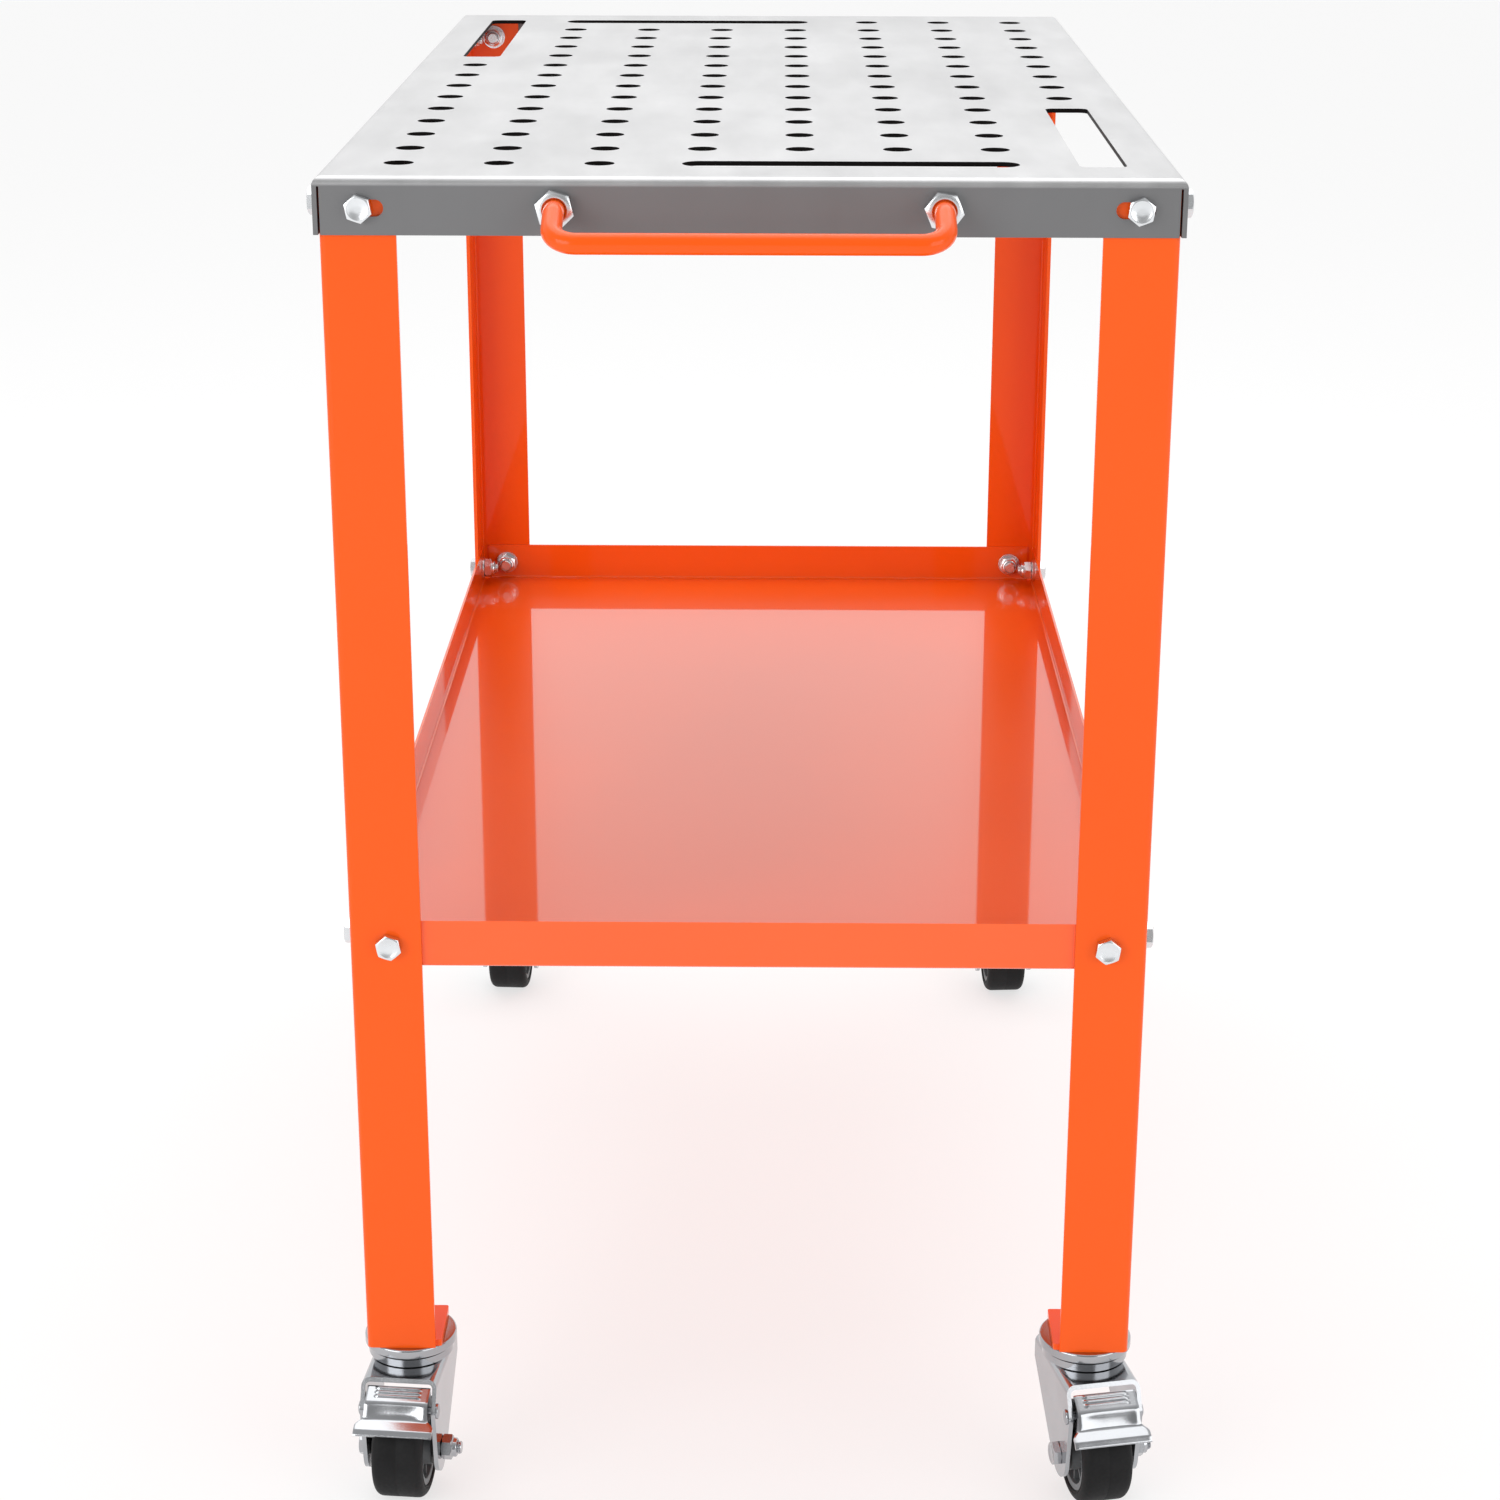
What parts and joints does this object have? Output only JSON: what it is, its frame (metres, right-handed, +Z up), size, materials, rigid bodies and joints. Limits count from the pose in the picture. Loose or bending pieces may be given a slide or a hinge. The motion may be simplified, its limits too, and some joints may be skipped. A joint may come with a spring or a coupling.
{
  "type": "welding table",
  "caption": "Rectangular steel welding table on lockable swivel casters, with a perforated folded top, clamp slots, angle legs, a tray shelf and an end pull handle.",
  "frame": {"origin": "on the floor at the middle of the whole object's footprint, the pull handle included; x = 0 is the middle of the tabletop", "axes": "+Z up, +Y along the table's length away from the pull handle, +X across to the right as seen from the handle end"},
  "size_m": [0.4691, 0.8508, 0.775],
  "materials": {
    "orange_paint": "gloss powder coat",
    "bare_steel": "satin sheet steel",
    "bright_zinc": "bright zinc plate",
    "caster_zinc": "bright plated pressing",
    "tyre_rubber": "smooth black",
    "wheel_grey": "moulded grey",
    "bush_dark": "dark sleeve"
  },
  "bodies": {
    "table": {"tabletop": "bare_steel", "shelf_tray": "orange_paint", "pull_handle": "orange_paint", "handle_outer_nuts": "bright_zinc", "handle_inner_nuts": "bright_zinc", "top_bolts": "bright_zinc", "top_washers": "bright_zinc", "top_lock_nuts": "bright_zinc", "shelf_bolts": "bright_zinc", "shelf_washers": "bright_zinc", "shelf_lock_nuts": "bright_zinc", "caster_stems": "bright_zinc", "caster_stem_nuts": "bright_zinc", "upper_races": "caster_zinc", "front_left_leg": "orange_paint", "front_left_foot_plate": "orange_paint", "front_right_leg": "orange_paint", "front_right_foot_plate": "orange_paint", "rear_left_leg": "orange_paint", "rear_left_foot_plate": "orange_paint", "rear_right_leg": "orange_paint", "rear_right_foot_plate": "orange_paint"},
    "front_left_caster": {"front_left_fork": "caster_zinc", "front_left_swivel_balls": "caster_zinc", "front_left_axle_bolt": "bright_zinc", "front_left_axle_nut": "bright_zinc", "front_left_axle_bush": "bush_dark", "front_left_pedal_pin": "caster_zinc"},
    "front_left_wheel": {"front_left_tyre": "tyre_rubber", "front_left_wheel_hub": "wheel_grey"},
    "front_left_brake": {"front_left_brake_pedal": "caster_zinc"},
    "front_right_caster": {"front_right_fork": "caster_zinc", "front_right_swivel_balls": "caster_zinc", "front_right_axle_bolt": "bright_zinc", "front_right_axle_nut": "bright_zinc", "front_right_axle_bush": "bush_dark", "front_right_pedal_pin": "caster_zinc"},
    "front_right_wheel": {"front_right_tyre": "tyre_rubber", "front_right_wheel_hub": "wheel_grey"},
    "front_right_brake": {"front_right_brake_pedal": "caster_zinc"},
    "rear_left_caster": {"rear_left_fork": "caster_zinc", "rear_left_swivel_balls": "caster_zinc", "rear_left_axle_bolt": "bright_zinc", "rear_left_axle_nut": "bright_zinc", "rear_left_axle_bush": "bush_dark", "rear_left_pedal_pin": "caster_zinc"},
    "rear_left_wheel": {"rear_left_tyre": "tyre_rubber", "rear_left_wheel_hub": "wheel_grey"},
    "rear_left_brake": {"rear_left_brake_pedal": "caster_zinc"},
    "rear_right_caster": {"rear_right_fork": "caster_zinc", "rear_right_swivel_balls": "caster_zinc", "rear_right_axle_bolt": "bright_zinc", "rear_right_axle_nut": "bright_zinc", "rear_right_axle_bush": "bush_dark", "rear_right_pedal_pin": "caster_zinc"},
    "rear_right_wheel": {"rear_right_tyre": "tyre_rubber", "rear_right_wheel_hub": "wheel_grey"},
    "rear_right_brake": {"rear_right_brake_pedal": "caster_zinc"}
  },
  "joints": [
    {"name": "front_left_swivel", "type": "hinge", "parent": "table", "child": "front_left_caster", "pos_m": [-0.1995, -0.3544, 0.0925], "axis": [0, 0, 1], "continuous": true},
    {"name": "front_left_roll", "type": "hinge", "parent": "front_left_caster", "child": "front_left_wheel", "pos_m": [-0.20185, -0.3813, 0.03], "axis": [0.9962, -0.0872, 0], "continuous": true},
    {"name": "front_left_brake_press", "type": "hinge", "parent": "front_left_caster", "child": "front_left_brake", "pos_m": [-0.20289, -0.39319, 0.06109], "axis": [0.9962, -0.0872, 0], "range_deg": [0, 9]},
    {"name": "front_right_swivel", "type": "hinge", "parent": "table", "child": "front_right_caster", "pos_m": [0.1995, -0.3544, 0.0925], "axis": [0, 0, 1], "continuous": true},
    {"name": "front_right_roll", "type": "hinge", "parent": "front_right_caster", "child": "front_right_wheel", "pos_m": [0.20511, -0.38081, 0.03], "axis": [0.9781, 0.2079, 0], "continuous": true},
    {"name": "front_right_brake_press", "type": "hinge", "parent": "front_right_caster", "child": "front_right_brake", "pos_m": [0.2076, -0.39248, 0.06109], "axis": [0.9781, 0.2079, 0], "range_deg": [-9, 0]},
    {"name": "rear_left_swivel", "type": "hinge", "parent": "table", "child": "rear_left_caster", "pos_m": [-0.1995, 0.3946, 0.0925], "axis": [0, 0, 1], "continuous": true},
    {"name": "rear_left_roll", "type": "hinge", "parent": "rear_left_caster", "child": "rear_left_wheel", "pos_m": [-0.20091, 0.36764, 0.03], "axis": [0.9986, -0.0523, 0], "continuous": true},
    {"name": "rear_left_brake_press", "type": "hinge", "parent": "rear_left_caster", "child": "rear_left_brake", "pos_m": [-0.20154, 0.35572, 0.06109], "axis": [0.9986, -0.0523, 0], "range_deg": [0, 9]},
    {"name": "rear_right_swivel", "type": "hinge", "parent": "table", "child": "rear_right_caster", "pos_m": [0.1995, 0.3946, 0.0925], "axis": [0, 0, 1], "continuous": true},
    {"name": "rear_right_roll", "type": "hinge", "parent": "rear_right_caster", "child": "rear_right_wheel", "pos_m": [0.20138, 0.36767, 0.03], "axis": [0.9976, 0.0698, 0], "continuous": true},
    {"name": "rear_right_brake_press", "type": "hinge", "parent": "rear_right_caster", "child": "rear_right_brake", "pos_m": [0.20222, 0.35576, 0.06109], "axis": [0.9976, 0.0698, 0], "range_deg": [0, 9]}
  ]
}
